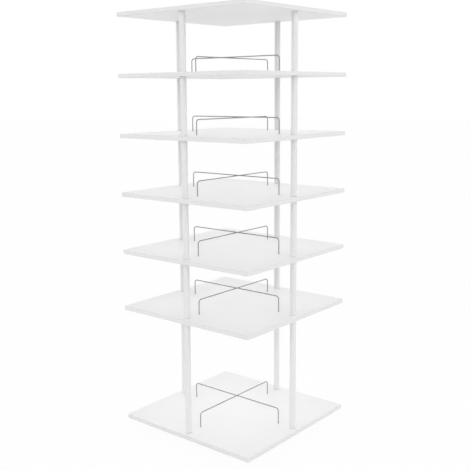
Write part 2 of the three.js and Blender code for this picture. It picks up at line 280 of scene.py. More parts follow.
class StageSettings(bpy.types.PropertyGroup):
    """Floor, light and camera."""

    sky_low: a_strength(
        "Sky low down", "Strength of the light from all round, low down but above the horizon", 1.89,
    )
    horizon_share: a_share(
        "Horizon share", "Strength right at the horizon, as a share of the strength low down", 0.3,
    )
    sky_high: a_strength("Sky overhead", "Strength of the light from straight above", 0.32)
    sky_side: a_share(
        "Sky to one side",
        "How much the bright side of the sky exceeds its mean, and its dark side falls short",
        0.04,
    )
    side_heading: an_angle(
        "Bright side", "Direction of the bright side, anticlockwise from straight right", 22,
    )
    key_strength: a_strength(
        "Key strength", "Strength of the wide soft light in front on the right", 0.1,
    )
    key_width: an_angle("Key width", "How wide that light looks from the object", 40)
    key_place: a_place("Key place", "Where that light comes from", (2.3, -1.93, 1.4))
    floor_colour: a_colour(
        "Floor colour", "Pale grey that the floor throws back on the object", (0.92, 0.92, 0.92),
    )
    floor_white: a_share(
        "Floor white",
        "Share of plain white in the floor as it is seen; the rest keeps the shadow",
        0.95,
    )
    floor_radius: a_length("Floor radius", "Radius of the floor", 30.0)
    camera_place: a_place("Camera place", "Where the camera stands", (1.4683, -1.7896, 1.0263))
    heading: an_angle(
        "Heading", "Turn of the camera round the vertical, from a view straight from the front", 39.89,
    )
    tilt: an_angle("Tilt", "How far the camera looks down", 9.1)
    roll: an_angle("Roll", "Turn of the camera round its line of sight", -0.44)
    lens: FloatProperty(
        name="Lens",
        description="Focal length in millimetres on a 36 mm wide sensor",
        default=59.2,
        min=10.0,
    )
    shift_across: FloatProperty(
        name="Shift across",
        description="Sideways shift of the picture, as a share of its width",
        default=0.01574,
    )
    shift_up: FloatProperty(
        name="Shift up",
        description="Upward shift of the picture, as a share of its width",
        default=-0.04,
    )


# Mesh building

def scene_piece(name, data):
    """An object at the origin for a mesh, a light or a camera."""
    piece = bpy.data.objects.new(name, data)
    bpy.context.scene.collection.objects.link(piece)
    return piece


def finished_mesh(made, name, materials, sharp_angle=SHARP_ANGLE):
    """A mesh from a bmesh, with its materials and with its steeper edges kept sharp."""
    mesh = bpy.data.meshes.new(name)
    made.to_mesh(mesh)
    made.free()
    for material in materials:
        mesh.materials.append(material)
    mesh.set_sharp_from_angle(angle=sharp_angle)
    return mesh


def fillet(corner, start, end, steps):
    """Stations of a rounded corner between two points of a section."""
    middle = Vector((start[0] + end[0] - corner[0], start[1] + end[1] - corner[1]))
    across = Vector(start) - middle
    along = Vector(end) - middle
    stations = []
    for step in range(steps + 1):
        angle = QUARTER_TURN * step / steps
        point = middle + across * math.cos(angle) + along * math.sin(angle)
        stations.append((point.x, point.y))
    return stations


def circle(radius, steps, centre=(0.0, 0.0)):
    """Points of a circle, anticlockwise from above."""
    points = []
    for step in range(steps):
        angle = FULL_TURN * step / steps
        points.append((centre[0] + radius * math.cos(angle), centre[1] + radius * math.sin(angle)))
    return points


def rounded_square(half_width, radius, steps):
    """Points of a square outline with round corners, anticlockwise from above."""
    points = []
    flat = half_width - radius
    for turn, way in enumerate(CORNERS):
        for step in range(steps + 1):
            angle = QUARTER_TURN * (turn + step / steps)
            x = way[0] * flat + radius * math.cos(angle)
            y = way[1] * flat + radius * math.sin(angle)
            points.append((x, y))
    return points


def add_ring(made, points, height):
    return [made.verts.new((x, y, height)) for x, y in points]


def add_skin(made, upper, lower, outward, material, smooth=True):
    """The faces between two rings, the upper one first. An end on the axis is a ring of one point."""
    count = max(len(upper), len(lower))
    for i in range(count):
        after = (i + 1) % count
        corners = [lower[i % len(lower)], lower[after % len(lower)]]
        corners += [upper[after % len(upper)], upper[i % len(upper)]]
        corners = list(dict.fromkeys(corners))
        if not outward:
            corners.reverse()
        face = made.faces.new(corners)
        face.material_index = material
        face.smooth = smooth


def add_turned(made, section, sides, centre=(0.0, 0.0), outward=True, material=0):
    """A section of (radius, height) points turned round an upright axis, from its top to its bottom.

    Returns its first and its last ring.
    """
    rings = []
    for radius, height in section:
        points = circle(radius, sides, centre) if radius > 0 else [centre]
        rings.append(add_ring(made, points, height))
    for upper, lower in zip(rings, rings[1:]):
        add_skin(made, upper, lower, outward, material)
    return rings[0], rings[-1]


def add_recess(made, outlines):
    """A recess with sharp edges, from its mouth to its tip; returns the ring of its mouth."""
    rings = [add_ring(made, points, height) for points, height in outlines]
    for upper, lower in zip(rings, rings[1:]):
        add_skin(made, upper, lower, False, 0, False)
    return rings[0]


def fill_flat(made, rings, upward, material):
    """A flat face inside the first ring and round the others."""
    edges = []
    for ring in rings:
        for i, corner in enumerate(ring):
            after = ring[(i + 1) % len(ring)]
            edges.append(made.edges.get((corner, after)) or made.edges.new((corner, after)))
    filled = bmesh.ops.triangle_fill(made, edges=edges, use_beauty=True)
    for face in filled["geom"]:
        if not isinstance(face, bmesh.types.BMFace):
            continue
        face.normal_update()
        if (face.normal.z > 0) != upward:
            face.normal_flip()
        face.material_index = material
        face.smooth = False


def add_plate(made, outline, section, openings, materials, sides=HOLE_SIDES):
    """A flat piece with holes.

    The outline gives the points for an inset. The section holds (inset, height) points from the upper
    face round the edge to the lower face. An opening is a centre, a section of (radius, height) points
    from the upper to the lower mouth, and whether it is open above and below.
    """
    face_material, edge_material, hole_material = materials
    rings = [add_ring(made, outline(inset), height) for inset, height in section]
    for upper, lower in zip(rings, rings[1:]):
        add_skin(made, upper, lower, True, edge_material)
    above = [rings[0]]
    below = [rings[-1]]
    for centre, hole, open_above, open_below in openings:
        mouth, foot = add_turned(made, hole, sides, centre, False, hole_material)
        if open_above:
            above.append(mouth)
        if open_below:
            below.append(foot)
    fill_flat(made, above, True, face_material)
    fill_flat(made, below, False, face_material)


def banded_edge(bottom, top, settings):
    """Section of a laminated board's edge: the joint line, the band and its rounded edges."""
    band = settings.band_thickness
    half_line = settings.joint_width / 2
    depth = settings.joint_depth
    ease = settings.edge_radius
    section = [(band + half_line, top), (band, top - depth), (band - half_line, top)]
    section += fillet((0.0, top), (ease, top), (0.0, top - ease), BAND_STEPS)
    section += fillet((0.0, bottom), (0.0, bottom + ease), (ease, bottom), BAND_STEPS)
    section += [(band - half_line, bottom), (band, bottom + depth), (band + half_line, bottom)]
    return section


# Node trees

# Sockets that go by their number, because others of the same node have the same name
RANDOM_MOST, RANDOM_RESULT = 3, 1
MIX_FIRST, MIX_SECOND, MIX_RESULT = 6, 7, 2


class Tree:
    """A node tree in the making.

    A node is given by its kind, its label and its values. A value with a capital goes into the input of
    that name, with spaces for underscores, and is a number or another node's output. Any other value is
    an option of the node. Inputs whose names won't do for that come in a dictionary.
    """

    def __init__(self, tree):
        self.tree = tree

    def node(self, kind, label, inputs=None, **values):
        made = self.tree.nodes.new(kind)
        made.label = label
        inputs = dict(inputs or {})
        for name, value in values.items():
            if name[0].isupper():
                inputs[name.replace("_", " ")] = value
            else:
                setattr(made, name, value)
        for name, value in inputs.items():
            self.feed(made.inputs[name], value)
        return made

    def add(self, kind, label, inputs=None, **values):
        """Adds a node and returns its first output."""
        return self.node(kind, label, inputs, **values).outputs[0]

    def feed(self, socket, value):
        if isinstance(value, bpy.types.NodeSocket):
            self.tree.links.new(value, socket)
        else:
            socket.default_value = value

    def calculate(self, operation, first, second, label):
        return self.add("ShaderNodeMath", label, {0: first, 1: second}, operation=operation)

    def half(self, value, label):
        return self.calculate("MULTIPLY", value, 0.5, label)

    def combine(self, x, y, z, label):
        return self.add("ShaderNodeCombineXYZ", label, X=x, Y=y, Z=z)

    def spread(self, pattern, low=0.0, high=1.0, label="Range", start=0.3, end=0.7):
        """Maps a pattern's middle range onto two values."""
        inputs = {"From Min": start, "From Max": end, "To Min": low, "To Max": high}
        return self.add("ShaderNodeMapRange", label, inputs, Value=pattern)

    def mixed(self, share, first, second, label):
        return self.add("ShaderNodeMixShader", label, {1: first, 2: second}, Fac=share)

    def seen(self):
        """1 where the eye meets a surface, directly, in a mirror or through glass; 0 for its light."""
        path = self.node("ShaderNodeLightPath", "What looks at it").outputs
        camera, glossy = path["Is Camera Ray"], path["Is Glossy Ray"]
        direct = self.calculate("MAXIMUM", camera, glossy, "Seen or reflected")
        return self.calculate("MAXIMUM", direct, path["Is Transmission Ray"], "Or seen through")


class PatternTree(Tree):
    """A geometry tree that puts copies of a shape at places.

    It takes the places, a material, and each kind of value that is named with its inputs.
    """

    def __init__(self, name, **kinds):
        super().__init__(bpy.data.node_groups.new(name, "GeometryNodeTree"))
        self.tree.is_modifier = True
        face = self.tree.interface
        face.new_socket("Geometry", in_out="OUTPUT", socket_type="NodeSocketGeometry")
        for kind, labels in {"Geometry": ("Places",), **kinds, "Material": ("Material",)}.items():
            for label in labels:
                face.new_socket(label, in_out="INPUT", socket_type=f"NodeSocket{kind}")
        self.given = self.tree.nodes.new("NodeGroupInput").outputs
        self.result = self.tree.nodes.new("NodeGroupOutput").inputs["Geometry"]

    def joined(self, label, *parts):
        whole = self.node("GeometryNodeJoinGeometry", label)
        for part in parts:
            self.feed(whole.inputs["Geometry"], part)
        return whole.outputs["Geometry"]

    def raised(self, geometry, height, label):
        """A geometry moved straight up."""
        lift = self.combine(0.0, 0.0, height, f"{label} height")
        return self.add(
            "GeometryNodeTransform", f"{label} raised", Geometry=geometry, Translation=lift,
        )

    def ring(self, radius, width, height, lift, rounding, sides, label):
        """A ring with a rectangular section, whose corners may be rounded, its middle at a height."""
        path = self.add(
            "GeometryNodeCurvePrimitiveCircle",
            f"{label} circle",
            mode="RADIUS",
            Resolution=sides,
            Radius=radius,
        )
        section = self.add(
            "GeometryNodeCurvePrimitiveQuadrilateral", f"{label} section", Width=width, Height=height,
        )
        if rounding is not None:
            section = self.add(
                "GeometryNodeFilletCurve",
                f"{label} rounded ends",
                mode="POLY",
                Curve=section,
                Count=TUBE_END_STEPS,
                Limit_Radius=True,
                Radius=rounding,
            )
        swept = self.add("GeometryNodeCurveToMesh", label, Curve=path, Profile_Curve=section)
        return self.raised(swept, lift, label)

    def cylinder(self, radius, height, lift, sides, label):
        """An upright cylinder, its middle at a height."""
        made = self.add(
            "GeometryNodeMeshCylinder",
            label,
            fill_type="NGON",
            Vertices=sides,
            Radius=radius,
            Depth=height,
        )
        return self.raised(made, lift, label)

    def smooth(self, geometry):
        return self.add("GeometryNodeSetShadeSmooth", "Smooth", Geometry=geometry)

    def repeat(self, copy, **more):
        """Puts a copy at each place, as plain mesh with its material, and gives the whole tree."""
        points = self.given["Places"]
        copies = self.add(
            "GeometryNodeInstanceOnPoints", "One at each place", Points=points, Instance=copy, **more,
        )
        plain = self.add("GeometryNodeRealizeInstances", "Plain mesh", Geometry=copies)
        material = self.given["Material"]
        painted = self.add("GeometryNodeSetMaterial", "Finish", Geometry=plain, Material=material)
        self.feed(self.result, painted)
        return self.tree


def post_tree():
    """Posts: a tube with rounded ends, a threaded plug at its foot, and a plug with a stud on top."""
    lengths = (
        "Length", "Diameter", "Wall", "End Radius", "Plug Length", "Insert Diameter",
        "Stud Diameter", "Stud Length",
    )
    tree = PatternTree("Posts at their places", Float=lengths, Bool=("Has Stud",), Int=("Sides",))
    given = tree.given
    length, wall, sides = given["Length"], given["Wall"], given["Sides"]
    plug_length, stud_length = given["Plug Length"], given["Stud Length"]
    radius = tree.half(given["Diameter"], "Outer radius")
    bore = tree.calculate("SUBTRACT", radius, wall, "Bore radius")
    half_wall = tree.half(wall, "Half wall")
    tube_middle = tree.calculate("SUBTRACT", radius, half_wall, "Middle of the wall")
    half_length = tree.half(length, "Half length")
    tube = tree.ring(tube_middle, wall, length, half_length, given["End Radius"], sides, "Tube")
    insert = tree.half(given["Insert Diameter"], "Insert radius")
    plug_width = tree.calculate("SUBTRACT", bore, insert, "Plug width")
    half_plug_width = tree.half(plug_width, "Half plug width")
    plug_middle = tree.calculate("ADD", insert, half_plug_width, "Middle of the plug's ring")
    half_plug = tree.half(plug_length, "Half plug")
    foot = tree.ring(plug_middle, plug_width, plug_length, half_plug, None, sides, "Foot plug")
    head_lift = tree.calculate("SUBTRACT", length, half_plug, "Middle of the head plug")
    threaded_head = tree.ring(
        plug_middle, plug_width, plug_length, head_lift, None, sides, "Threaded head plug",
    )
    solid_head = tree.cylinder(bore, plug_length, head_lift, sides, "Solid head plug")
    stud_radius = tree.half(given["Stud Diameter"], "Stud radius")
    half_stud = tree.half(stud_length, "Half stud")
    stud_lift = tree.calculate("ADD", length, half_stud, "Middle of the stud")
    stud = tree.cylinder(stud_radius, stud_length, stud_lift, STUD_SIDES, "Stud")
    studded_head = tree.joined("Head plug with stud", solid_head, stud)
    heads = {"False": threaded_head, "True": studded_head}
    head = tree.add(
        "GeometryNodeSwitch", "Head", heads, input_type="GEOMETRY", Switch=given["Has Stud"],
    )
    return tree.repeat(tree.smooth(tree.joined("Whole post", tube, foot, head)))


def bent_wire(tree, bar_height, turn, label):
    """One divider wire: up a leg, over the bar and down the other leg, turned about the axis.

    Its path has four stations: foot, bend, bend and foot.
    """
    station_count = 4
    middle = (station_count - 1) / 2
    given = tree.given
    line = tree.add(
        "GeometryNodeCurvePrimitiveLine", f"{label} line", mode="POINTS", End=(1.0, 0.0, 0.0),
    )
    stations = tree.add(
        "GeometryNodeResampleCurve", f"{label} stations", Curve=line, Count=station_count,
    )
    index = tree.add("GeometryNodeInputIndex", "Station")
    far_half = tree.calculate("GREATER_THAN", index, middle, "On the far leg")
    doubled = tree.calculate("MULTIPLY", far_half, 2.0, "Twice the side")
    side = tree.calculate("SUBTRACT", doubled, 1.0, "Side")
    across = tree.calculate("MULTIPLY", side, given["Half Span"], "Across")
    offset = tree.calculate("SUBTRACT", index, middle, "From the middle")
    distance = tree.calculate("ABSOLUTE", offset, 0.0, "Stations from the middle")
    is_foot = tree.calculate("GREATER_THAN", distance, 1.0, "At a leg's foot")
    drop = tree.calculate("ADD", bar_height, given["Leg Depth"], "Leg length")
    dropped = tree.calculate("MULTIPLY", is_foot, drop, "Down the leg")
    height = tree.calculate("SUBTRACT", bar_height, dropped, "Height")
    place = tree.combine(across, 0.0, height, f"{label} station")
    placed = tree.add(
        "GeometryNodeSetPosition", f"{label} path", Geometry=stations, Position=place,
    )
    bent = tree.add(
        "GeometryNodeFilletCurve",
        f"{label} bends",
        mode="POLY",
        Curve=placed,
        Count=given["Bend Steps"],
        Radius=given["Bend Radius"],
    )
    section = tree.add(
        "GeometryNodeCurvePrimitiveCircle",
        "Wire section",
        mode="RADIUS",
        Resolution=given["Sides"],
        Radius=tree.half(given["Diameter"], "Wire radius"),
    )
    swept = tree.add(
        "GeometryNodeCurveToMesh", label, Curve=bent, Profile_Curve=section, Fill_Caps=True,
    )
    rotation = (0.0, 0.0, turn)
    return tree.add("GeometryNodeTransform", f"{label} turned", Geometry=swept, Rotation=rotation)


def wire_tree():
    """Divider wires: two bent wires that cross, one pair at each place."""
    lengths = ("Half Span", "Bar Height", "Crossing Gap", "Leg Depth", "Bend Radius", "Diameter")
    counts = ("Bend Steps", "Sides")
    tree = PatternTree("Crossed wires at their places", Float=lengths, Int=counts)
    given = tree.given
    apart = tree.calculate("ADD", given["Diameter"], given["Crossing Gap"], "Wires apart")
    half_apart = tree.half(apart, "Half of that")
    lower = tree.calculate("SUBTRACT", given["Bar Height"], half_apart, "Lower bar")
    upper = tree.calculate("ADD", given["Bar Height"], half_apart, "Upper bar")
    left_right = bent_wire(tree, upper, 0.0, "Left to right")
    front_back = bent_wire(tree, lower, QUARTER_TURN, "Front to back")
    return tree.repeat(tree.smooth(tree.joined("Crossed pair", left_right, front_back)))


def ball_tree():
    """Balls evenly spaced round a circle."""
    lengths = ("Ball Diameter", "Ball Circle")
    tree = PatternTree("Balls round a circle", Float=lengths, Int=("Ball Count",))
    given = tree.given
    ball = tree.add(
        "GeometryNodeMeshUVSphere",
        "Ball",
        Segments=BALL_SEGMENTS,
        Rings=BALL_RINGS,
        Radius=tree.half(given["Ball Diameter"], "Ball radius"),
    )
    index = tree.add("GeometryNodeInputIndex", "Ball number")
    share = tree.calculate("DIVIDE", index, given["Ball Count"], "Share of the circle")
    angle = tree.calculate("MULTIPLY", share, FULL_TURN, "Angle")
    radius = tree.half(given["Ball Circle"], "Circle radius")
    cosine = tree.calculate("COSINE", angle, 0.0, "Cosine")
    sine = tree.calculate("SINE", angle, 0.0, "Sine")
    x = tree.calculate("MULTIPLY", cosine, radius, "X")
    y = tree.calculate("MULTIPLY", sine, radius, "Y")
    around = tree.add(
        "GeometryNodePoints",
        "Points round the circle",
        Count=given["Ball Count"],
        Position=tree.combine(x, y, 0.0, "Place"),
    )
    return tree.repeat(tree.add(
        "GeometryNodeInstanceOnPoints", "Ring of balls", Points=around, Instance=tree.smooth(ball),
    ))


def fastener_tree():
    """Copies of a fastener at its places, each turned by chance about its own axis."""
    tree = PatternTree(
        "Fasteners at their places", Object=("Fastener",), Float=("Greatest Turn",), Int=("Seed",),
    )
    given = tree.given
    copy = tree.node(
        "GeometryNodeObjectInfo", "Fastener", transform_space="ORIGINAL", Object=given["Fastener"],
    )
    chance = tree.node(
        "FunctionNodeRandomValue",
        "Chance",
        {RANDOM_MOST: given["Greatest Turn"]},
        data_type="FLOAT",
        Seed=given["Seed"],
    )
    turn = tree.combine(0.0, 0.0, chance.outputs[RANDOM_RESULT], "Turn by chance")
    rotation = tree.add("FunctionNodeEulerToRotation", "Rotation", Euler=turn)
    return tree.repeat(copy.outputs["Geometry"], Rotation=rotation)


def inputs_of(settings):
    """The settings as inputs of the same name: bar_height goes into Bar Height."""
    names = type(settings).__annotations__
    return {name.replace("_", " ").title(): getattr(settings, name) for name in names}


def grown(name, places, tree, values):
    """A plain mesh piece that a tree makes at the given places."""
    mesh = bpy.data.meshes.new(f"{name} places")
    mesh.from_pydata([tuple(place) for place in places], [], [])
    piece = scene_piece(name, mesh)
    modifier = piece.modifiers.new("Pattern", "NODES")
    modifier.node_group = tree
    for socket in tree.interface.items_tree:
        if socket.in_out == "INPUT" and socket.name in values:
            modifier[socket.identifier] = values[socket.name]
    bpy.context.view_layer.update()
    graph = bpy.context.evaluated_depsgraph_get()
    plain = bpy.data.meshes.new_from_object(piece.evaluated_get(graph))
    piece.modifiers.remove(modifier)
    piece.data = plain
    plain.name = name
    bpy.data.meshes.remove(mesh)
    plain.set_sharp_from_angle(angle=SHARP_ANGLE)
    return piece


def fastened(name, mesh, places, finish, seed, greatest_turn):
    """A plain mesh piece with copies of a fastener at the given places."""
    pattern = scene_piece(f"{name}_pattern", mesh)
    values = {
        "Fastener": pattern,
        "Greatest Turn": greatest_turn,
        "Seed": seed,
        "Material": finish,
    }
    piece = grown(name, places, fastener_tree(), values)
    bpy.data.objects.remove(pattern)
    return piece


# Finishes

def emptied_tree(owner):
    """The node tree of a material or a world, with nothing in it."""
    owner.use_nodes = True
    owner.node_tree.nodes.clear()
    return owner.node_tree


def dimmed(colour, to):
    return tuple(channel * to for channel in colour)


class Finish(Tree):
    """A node material in the making, whose patterns lie on the piece's own coordinates."""

    def __init__(self, name):
        super().__init__(emptied_tree(bpy.data.materials.new(name)))
        self.shader = self.node("ShaderNodeBsdfPrincipled", "Surface")
        self.node("ShaderNodeOutputMaterial", "Result", Surface=self.shader.outputs["BSDF"])
        self.place = self.node("ShaderNodeTexCoord", "Place on the piece").outputs["Object"]

    def noise(self, label, scale, detail=2.0, roughness=0.5, stretch=None):
        """A noise pattern; the stretch squeezes it along an axis."""
        place = self.place
        if stretch is not None:
            place = self.add("ShaderNodeMapping", f"{label} stretch", Vector=place, Scale=stretch)
        return self.add(
            "ShaderNodeTexNoise",
            label,
            Vector=place,
            Scale=scale,
            Detail=detail,
            Roughness=roughness,
        )

    def cells(self, label, scale):
        """A pattern of cells: how far a point lies from its cell's middle, and its cell's colour."""
        made = self.node(
            "ShaderNodeTexVoronoi", label, Vector=self.place, Scale=scale, Randomness=1.0,
        ).outputs
        split = self.node("ShaderNodeSeparateColor", f"{label} one by one", Color=made["Color"])
        return made["Distance"], split.outputs

    def tones(self, share, first, second):
        """A colour between two tones, by the share of the second one."""
        inputs = {MIX_FIRST: (*first, 1.0), MIX_SECOND: (*second, 1.0)}
        mix = self.node("ShaderNodeMix", "Two tones", inputs, data_type="RGBA", Factor=share)
        return mix.outputs[MIX_RESULT]

    def relief(self, pattern, depth, strength, **below):
        """The pattern's relief, laid over the one whose Normal is given."""
        return self.add(
            "ShaderNodeBump", "Relief", Height=pattern, Distance=depth, Strength=strength, **below,
        )

    def shine(self, **values):
        """Gives the shader's inputs their values, with spaces for underscores in their names."""
        for name, value in values.items():
            self.feed(self.shader.inputs[name.replace("_", " ")], value)


def made_once(name):
    """Turns a function that dresses a finish into one that makes it once and gives its material."""
    def wrap(dress):
        def finished(settings):
            if name not in bpy.data.materials:
                dress(Finish(name), settings)
            return bpy.data.materials[name]

        return finished

    return wrap


@made_once("White laminate")
def laminate_finish(finish, settings):
    """White melamine: a fine pebbled grain, faint cloudiness and a satin sheen."""
    white = settings.face_colour
    cloud = finish.noise("Faint clouds", scale=7.0, detail=3.0)
    sheen = finish.noise("Uneven sheen", scale=45.0, detail=4.0, roughness=0.6)
    grain = finish.noise("Pebbled grain", scale=1500.0, detail=2.0, roughness=0.55)
    swell = finish.noise("Press plate swell", scale=60.0, detail=1.0)
    fine = finish.relief(grain, depth=0.00003, strength=0.5)
    finish.shine(
        Base_Color=finish.tones(finish.spread(cloud), white, dimmed(white, to=0.985)),
        Roughness=finish.spread(sheen, low=0.42, high=0.52),
        Normal=finish.relief(swell, depth=0.00015, strength=0.15, Normal=fine),
        IOR=1.46,
    )


@made_once("White edge band")
def edge_band_finish(finish, settings):
    """Plastic edge band: fine lines along it, glossier than the faces, with painted shade in its darker
    white.
    """
    # This white is darker than the faces': painted shade for the upright edges
    white = settings.band_colour
    line = finish.noise(
        "Lines along the band", scale=18.0, detail=4.0, roughness=0.6, stretch=(1.0, 1.0, 90.0),
    )
    finish.shine(
        Base_Color=finish.tones(finish.spread(line), white, dimmed(white, to=0.98)),
        Roughness=finish.spread(line, low=0.33, high=0.45),
        Normal=finish.relief(line, depth=0.00004, strength=0.3),
        IOR=1.49,
    )


@made_once("Chipboard core")
def core_finish(finish, settings):
    """Chipboard in the drilled holes: flakes of several browns."""
    brown = settings.core_colour
    distance, flake = finish.cells("Flakes", scale=700.0)
    finish.shine(
        Base_Color=finish.tones(flake["Red"], brown, dimmed(brown, to=0.6)),
        Roughness=0.85,
        Normal=finish.relief(distance, depth=0.0003, strength=0.6),
    )


@made_once("White powder coat")
def powder_coat_finish(finish, settings):
    """White powder coat: orange peel and a semi-gloss sheen."""
    white = settings.colour
    thickness = finish.noise("Coat thickness", scale=22.0, detail=3.0)
    sheen = finish.noise("Uneven sheen", scale=130.0, detail=3.0, roughness=0.6)
    peel = finish.noise("Orange peel", scale=520.0, detail=1.0, roughness=0.4)
    grain = finish.noise("Powder grain", scale=2200.0, detail=2.0, roughness=0.5)
    coarse = finish.relief(peel, depth=0.00006, strength=0.35)
    finish.shine(
        Base_Color=finish.tones(finish.spread(thickness), white, dimmed(white, to=0.98)),
        Roughness=finish.spread(sheen, low=0.3, high=0.4),
        Normal=finish.relief(grain, depth=0.00001, strength=0.3, Normal=coarse),
        IOR=1.5,
    )


@made_once("Plated wire")
def plated_wire_finish(finish, settings):
    """Bright plated wire: grey metal with drawn lines and slightly uneven gloss."""
    metal = settings.colour
    tone = finish.noise("Plating tone", scale=60.0, detail=3.0)
    drawn = finish.noise("Drawn lines", scale=900.0, detail=3.0, roughness=0.6)
    finish.shine(
        Base_Color=finish.tones(finish.spread(tone), metal, dimmed(metal, to=0.9)),
        Roughness=finish.spread(drawn, low=0.16, high=0.3),
        Normal=finish.relief(drawn, depth=0.000015, strength=0.25),
        Metallic=1.0,
    )


@made_once("Zinc plating")
def zinc_finish(finish, settings):
    """Zinc-plated steel: cloudy, faintly bluish crystals."""
    zinc = settings.plate_colour
    crystal_strength = 0.35
    middle = {"start": 0.35, "end": 0.95}
    _, crystal = finish.cells("Crystals", scale=420.0)
    weaker = finish.calculate("MULTIPLY", crystal["Green"], crystal_strength, "Weaker crystals")
    cloud = finish.noise("Passivation clouds", scale=90.0, detail=4.0, roughness=0.6)
    both = finish.calculate("ADD", weaker, cloud, "Crystals and clouds")
    mark = finish.noise(
        "Rolling marks", scale=500.0, detail=2.0, roughness=0.6, stretch=(1.0, 0.06, 1.0),
    )
    finish.shine(
        Base_Color=finish.tones(finish.spread(both, **middle), zinc, dimmed(zinc, to=0.8)),
        Roughness=finish.spread(both, low=0.28, high=0.46, **middle),
        Normal=finish.relief(mark, depth=0.00002, strength=0.3),
        Metallic=1.0,
    )


@made_once("Polished steel")
def ball_finish(finish, settings):
    """Polished bearing steel with a trace of oil."""
    steel = settings.ball_colour
    film = finish.noise("Oil film", scale=350.0, detail=3.0, roughness=0.6)
    finish.shine(
        Base_Color=finish.tones(finish.spread(film), steel, dimmed(steel, to=0.86)),
        Roughness=finish.spread(film, low=0.08, high=0.22),
        Metallic=1.0,
    )


@made_once("Black rubber")
def rubber_finish(finish, settings):
    """Black moulded rubber with a fine matt grain."""
    black = settings.rubber_colour
    bloom_lift = 0.02
    bloom = finish.noise("Bloom", scale=140.0, detail=4.0, roughness=0.6)
    share = finish.spread(bloom, start=0.35, end=0.75)
    grain = finish.noise("Moulded grain", scale=2600.0, detail=2.0, roughness=0.6)
    finish.shine(
        Base_Color=finish.tones(share, black, [channel + bloom_lift for channel in black]),
        Roughness=finish.spread(bloom, low=0.7, high=0.9),
        Normal=finish.relief(grain, depth=0.00005, strength=0.4),
    )


# Shapes of single pieces

def board_openings(node, settings, has_wires, recess):
    """The holes of a board: for the posts, and blind ones for the wires' legs."""
    low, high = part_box(node)
    ease = settings.hole_ease
    hole = settings.post_hole / 2
    wide = settings.recess_diameter / 2
    upper_mouth = [(hole + ease, high.z), (hole, high.z - ease)]
    lower_mouth = [(hole, low.z + ease), (hole + ease, low.z)]
    if recess == "above":
        floor = high.z - settings.recess_depth
        upper_mouth = [(wide + ease, high.z), (wide, high.z - ease), (wide, floor), (hole, floor)]
    if recess == "below":
        floor = low.z + settings.recess_depth
        lower_mouth = [(hole, floor), (wide, floor), (wide, low.z + ease), (wide + ease, low.z)]
    openings = []
    for side in SIDES:
        post = middle_of(f"boot_post_{side}")
        openings.append(((post.x, post.y), upper_mouth + lower_mouth, True, True))
    if has_wires:
        radius = settings.leg_hole / 2
        floor = high.z - settings.leg_hole_depth
        blind = [(radius + ease, high.z), (radius, high.z - ease), (radius, floor), (0.0, floor)]
        span = bpy.context.scene.shoe_tower_wires.half_span
        for centre in ((span, 0.0), (0.0, span), (-span, 0.0), (0.0, -span)):
            openings.append((centre, blind, True, False))
    return openings


def banded_board(title, node, outline, openings):
    """A laminated board with its edge band and holes, in the place of its node."""
    settings = bpy.context.scene.shoe_tower_boards
    low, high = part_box(node)
    made = bmesh.new()
    add_plate(made, outline, banded_edge(low.z, high.z, settings), openings, BOARD_MATERIALS)
    materials = (laminate_finish(settings), edge_band_finish(settings), core_finish(settings))
    return scene_piece(title, finished_mesh(made, title, materials))


def make_board(node, title, has_wires=True, recess=None):
    """A square board between the posts."""
    settings = bpy.context.scene.shoe_tower_boards
    half_width = size_of(node).x / 2
    radius = settings.corner_radius

    def outline(inset):
        return rounded_square(half_width - inset, radius - inset, BOARD_CORNER_STEPS)

    openings = board_openings(node, settings, has_wires, recess)
    board = banded_board(title, node, outline, openings)
    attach(board, "tower")
    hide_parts(node)


def raceway(settings):
    """Sizes of the swivel's sections, measured up from the lower plate's underside."""
    ball = settings.ball_diameter / 2
    sheet = settings.sheet
    height = 2 * (sheet + settings.race_gap + ball)
    middle = height / 2
    groove = ball + settings.race_gap
    land = middle - settings.cage_thickness / 2 - settings.cage_gap
    angle = math.acos((middle - land) / groove)
    half_groove = groove * math.sin(angle)
    run = settings.ball_circle / 2
    land_outer = run + half_groove + settings.race_land
    bore = run - half_groove - settings.inner_land
    neck = bore - settings.neck_clearance
    lip = height - land + sheet + settings.lip_gap
    return SimpleNamespace(
        height=height,
        middle=middle,
        groove=groove,
        land=land,
        angle=angle,
        half_groove=half_groove,
        run=run,
        land_outer=land_outer,
        dish_outer=land_outer + settings.dish_run,
        bore=bore,
        neck_outer=neck,
        neck_inner=neck - sheet,
        lip_outer=bore + settings.lip_overlap,
        lip_bottom=lip,
        lip_top=lip + sheet,
    )


def pressed_plate_section(settings, has_lip):
    """Section of a swivel plate's middle, from the rim's upper face inwards and back underneath."""
    race = raceway(settings)
    sheet = settings.sheet
    under = race.land - sheet
    foot_bend = 0.0006
    lip_bend = 0.0008
    section = [(race.dish_outer, sheet), (race.land_outer, race.land)]
    for step in range(GROOVE_STEPS + 1):
        angle = race.angle * (1 - 2 * step / GROOVE_STEPS)
        radius = race.run + race.groove * math.sin(angle)
        section.append((radius, race.middle - race.groove * math.cos(angle)))
    if has_lip:
        section += [
            (race.neck_outer + foot_bend, race.land),
            (race.neck_outer, race.land + foot_bend),
            (race.neck_outer, race.lip_bottom),
            (race.lip_outer, race.lip_bottom),
            (race.lip_outer, race.lip_top),
            (race.neck_inner + lip_bend, race.lip_top),
            (race.neck_inner, race.lip_top - lip_bend),
            (race.neck_inner, under),
        ]
    else:
        section += [(race.bore, race.land), (race.bore, under)]
    foot = race.half_groove - sheet / 2
    section += [
        (race.run - foot - under, under),
        (race.run - foot, 0.0),
        (race.run + foot, 0.0),
        (race.run + foot + under, under),
        (race.land_outer - sheet / 2, under),
        (race.dish_outer - sheet / 2, 0.0),
    ]
    return section


